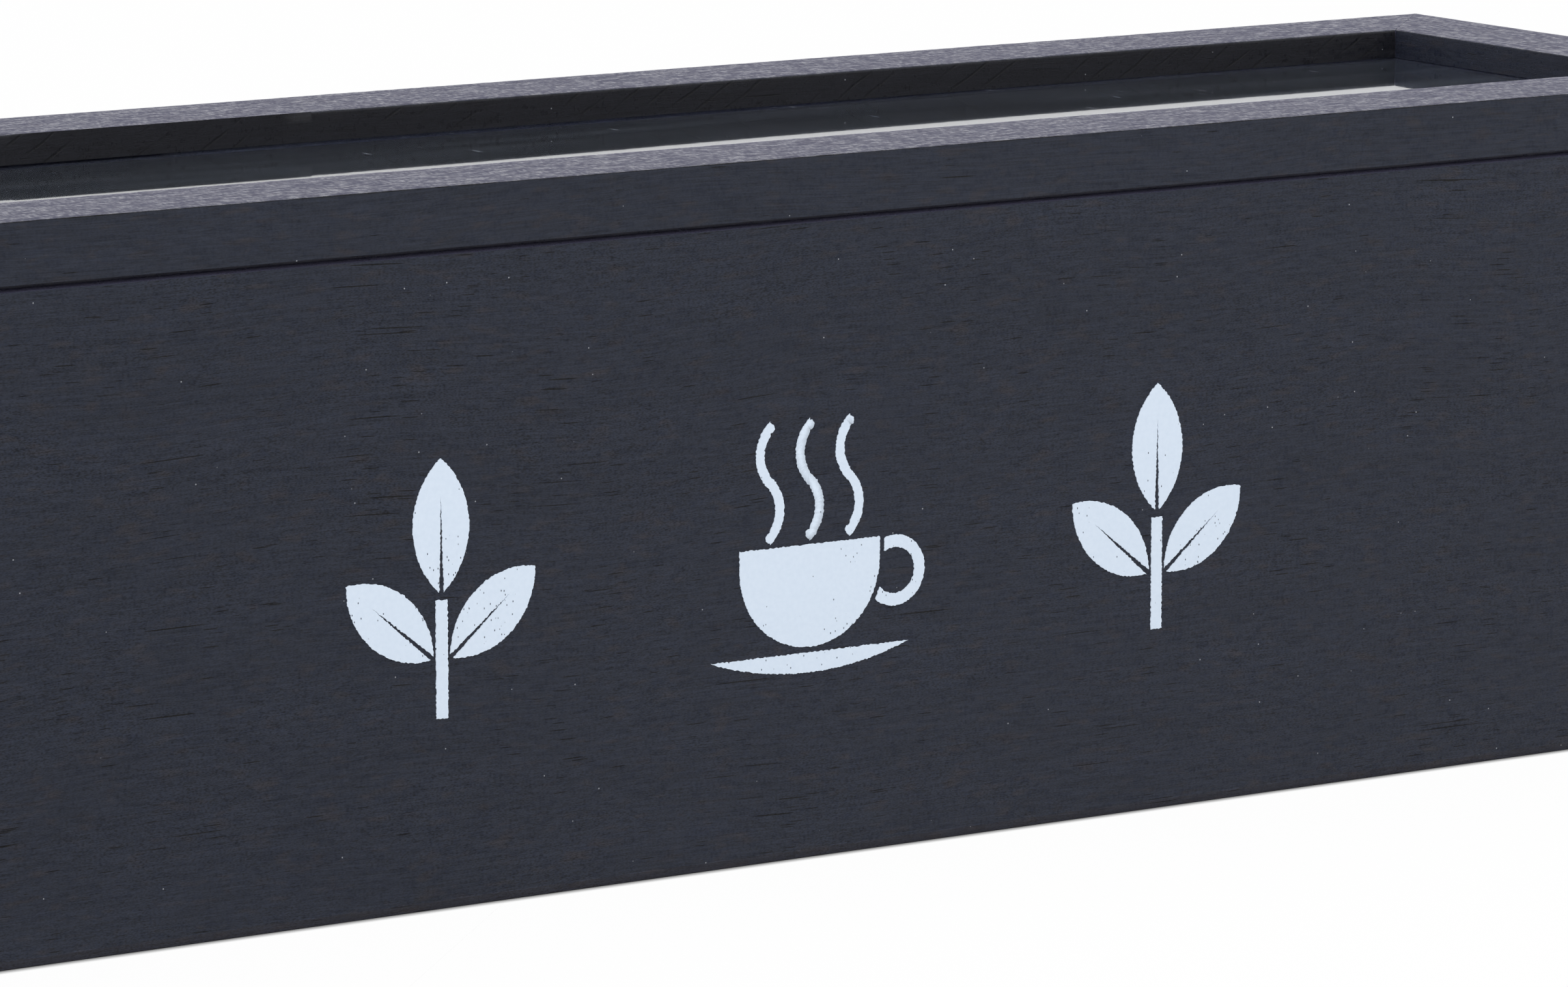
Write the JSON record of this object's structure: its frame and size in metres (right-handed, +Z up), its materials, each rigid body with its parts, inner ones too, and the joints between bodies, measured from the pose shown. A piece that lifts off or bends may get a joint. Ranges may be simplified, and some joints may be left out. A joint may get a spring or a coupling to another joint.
{
  "type": "tea bag organizer box",
  "caption": "Long black-stained wooden tea box with a row of compartments and a hinged frame lid that holds a clear window.",
  "frame": {"origin": "middle of the rectangle that the box stands on", "axes": "+X to the right along the length, +Y from the printed front to the hinged back, +Z up"},
  "size_m": [0.33, 0.0901, 0.09],
  "materials": {
    "stained_wood": "black stain, satin, fine grain",
    "stained_inner_wood": "black stain, matte",
    "clear_acrylic": "clear, polished",
    "white_ink": "screen-printed, matte",
    "nickel_hinge": "nickel-plated, satin",
    "hinge_screws": "nickel-plated",
    "steel_brads": "blued, dull"
  },
  "bodies": {
    "box": {"front_panel": "stained_wood", "back_panel": "stained_wood", "left_end_panel": "stained_wood", "right_end_panel": "stained_wood", "bottom_panel": "stained_inner_wood", "divider_1": "stained_inner_wood", "divider_2": "stained_inner_wood", "divider_3": "stained_inner_wood", "corner_brads": "steel_brads", "front_print": "white_ink", "left_hinge_body_leaf": "nickel_hinge", "left_hinge_pin": "nickel_hinge", "left_hinge_body_screws": "hinge_screws", "right_hinge_body_leaf": "nickel_hinge", "right_hinge_pin": "nickel_hinge", "right_hinge_body_screws": "hinge_screws"},
    "lid": {"lid_front_rail": "stained_wood", "lid_rear_rail": "stained_wood", "lid_left_rail": "stained_wood", "lid_right_rail": "stained_wood", "lid_window": "clear_acrylic", "lid_brads": "steel_brads", "left_hinge_lid_leaf": "nickel_hinge", "left_hinge_lid_screws": "hinge_screws", "right_hinge_lid_leaf": "nickel_hinge", "right_hinge_lid_screws": "hinge_screws"}
  },
  "joints": [
    {"name": "lid_hinge", "type": "hinge", "parent": "box", "child": "lid", "pos_m": [0, 0.0428, 0.0818], "axis": [-1, 0, 0], "range_deg": [0, 100]}
  ]
}
